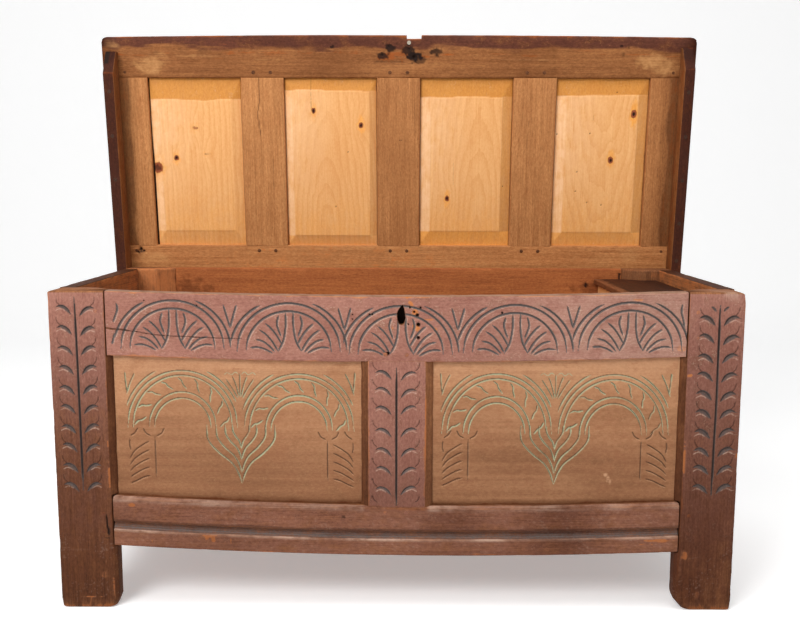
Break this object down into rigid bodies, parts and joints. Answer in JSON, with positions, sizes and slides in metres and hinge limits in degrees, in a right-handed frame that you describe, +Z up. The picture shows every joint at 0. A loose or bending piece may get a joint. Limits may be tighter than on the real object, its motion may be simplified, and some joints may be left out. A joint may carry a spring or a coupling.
{
  "type": "coffer chest",
  "caption": "Framed and panelled wooden coffer with carved front, inner till and a framed lid on wooden pintles, for storing linen and clothes.",
  "frame": {"origin": "on the floor under the middle of the whole box, with the lid open as pictured", "axes": "+X to the right along the front, +Y from the front to the back, +Z up"},
  "size_m": [1.38, 0.59, 1.1606],
  "materials": {
    "painted_wood": "worn red-brown paint",
    "panel_wood": "thin brown wash",
    "bare_wood": "bare, aged",
    "lid_wood": "bare, darkened by handling",
    "pine_panel": "bare honey-coloured pine",
    "dark_wood": "bare, dark brown",
    "peg_wood": "dark end grain",
    "iron": "dark, rusty",
    "pale_metal": "dull, pale"
  },
  "bodies": {
    "chest": {"back_bottom_rail": "bare_wood", "back_left_panel": "bare_wood", "back_left_stile": "bare_wood", "back_muntin": "bare_wood", "back_pegs": "peg_wood", "back_right_panel": "bare_wood", "back_right_stile": "bare_wood", "back_top_rail": "bare_wood", "floor_board_1": "bare_wood", "floor_board_2": "bare_wood", "floor_board_3": "bare_wood", "floor_board_4": "bare_wood", "floor_board_5": "bare_wood", "floor_board_6": "bare_wood", "front_bottom_rail": "painted_wood", "front_left_panel": "panel_wood", "front_left_stile": "painted_wood", "front_muntin": "painted_wood", "front_pegs": "peg_wood", "front_right_panel": "panel_wood", "front_right_stile": "painted_wood", "front_top_rail": "painted_wood", "left_end_bottom_rail": "painted_wood", "left_end_panel": "painted_wood", "left_end_pegs": "peg_wood", "left_end_top_rail": "painted_wood", "left_pintle": "bare_wood", "right_end_bottom_rail": "painted_wood", "right_end_panel": "painted_wood", "right_end_pegs": "peg_wood", "right_end_top_rail": "painted_wood", "right_pintle": "bare_wood", "till_bottom": "bare_wood", "till_side": "bare_wood"},
    "lid": {"cleat_nails": "iron", "left_cleat": "lid_wood", "lid_front_rail": "lid_wood", "lid_left_muntin": "lid_wood", "lid_left_stile": "lid_wood", "lid_middle_muntin": "lid_wood", "lid_panel_1": "pine_panel", "lid_panel_2": "pine_panel", "lid_panel_3": "pine_panel", "lid_panel_4": "pine_panel", "lid_pegs": "peg_wood", "lid_rear_rail": "lid_wood", "lid_right_muntin": "lid_wood", "lid_right_stile": "lid_wood", "lid_rivet": "pale_metal", "right_cleat": "lid_wood"},
    "till_lid": {"till_lid": "dark_wood"}
  },
  "joints": [
    {"name": "lid_hinge", "type": "hinge", "parent": "chest", "child": "lid", "pos_m": [0, 0.24105, 0.5955], "axis": [-1, 0, 0], "range_deg": [-84, 18]},
    {"name": "till_lid_hinge", "type": "hinge", "parent": "chest", "child": "till_lid", "pos_m": [0.604, -0.01895, 0.591], "axis": [0, 1, 0], "range_deg": [0, 10]}
  ]
}
